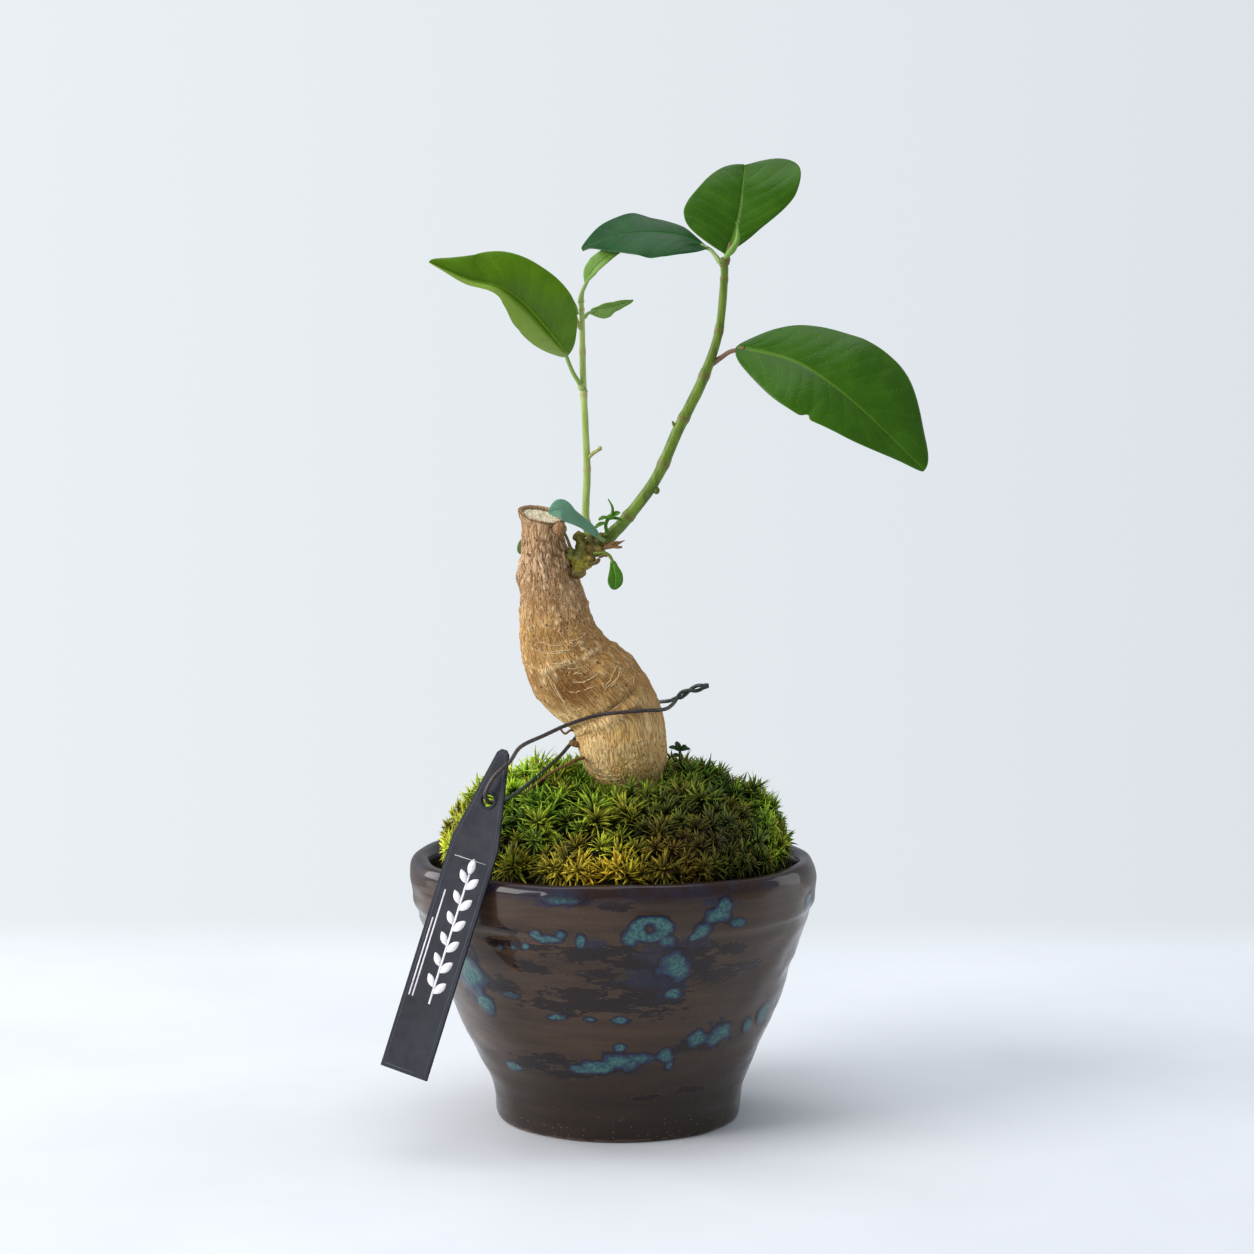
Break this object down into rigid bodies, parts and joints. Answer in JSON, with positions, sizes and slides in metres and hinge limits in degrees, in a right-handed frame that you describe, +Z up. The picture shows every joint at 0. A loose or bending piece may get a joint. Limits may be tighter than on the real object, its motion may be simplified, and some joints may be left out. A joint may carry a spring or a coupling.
{
  "type": "bonsai tree in a pot",
  "caption": "Young grafted ficus bonsai with a swollen bare trunk, thin green stems and glossy leaves, in a mossy glazed ceramic pot with a tied-on plant label.",
  "frame": {"origin": "middle of the base of the whole object's box, on the surface the pot stands on; the pot's own axis is 8.6 mm from it towards -X", "axes": "+Z up, +X to the right and +Y away from a viewer who faces the plant label"},
  "size_m": [0.1106, 0.0846, 0.2003],
  "materials": {
    "glaze": "gloss",
    "net": "matte",
    "soil": "matte",
    "moss": "matte",
    "bark": "matte",
    "callus": "matte",
    "stem": "satin",
    "leaf": "gloss",
    "young_leaf": "satin",
    "waxy_leaf": "matte",
    "dry_plant": "matte",
    "label": "satin",
    "wire": "satin"
  },
  "bodies": {
    "root": {"pot": "glaze", "drain_net": "net", "soil": "soil", "moss_left": "moss", "moss_front_left": "moss", "moss_front": "moss", "moss_front_right": "moss", "moss_right": "moss", "moss_back_right": "moss", "moss_back_left": "moss", "trunk": "bark", "graft_union": "callus", "stem_right": "stem", "stem_left": "stem", "leaf_right": "leaf", "leaf_left": "leaf", "leaf_top_right": "leaf", "leaf_top_left": "leaf", "leaf_small_back": "young_leaf", "leaf_small_right": "young_leaf", "leaf_low_front": "waxy_leaf", "leaf_hanging": "leaf", "leaf_back_low": "young_leaf", "spear_bud": "young_leaf", "stipule": "young_leaf", "young_shoot": "young_leaf", "dry_scale": "dry_plant", "weed_sprout": "leaf", "straw": "dry_plant", "tag": "label", "tag_wire": "wire"}
  },
  "joints": []
}
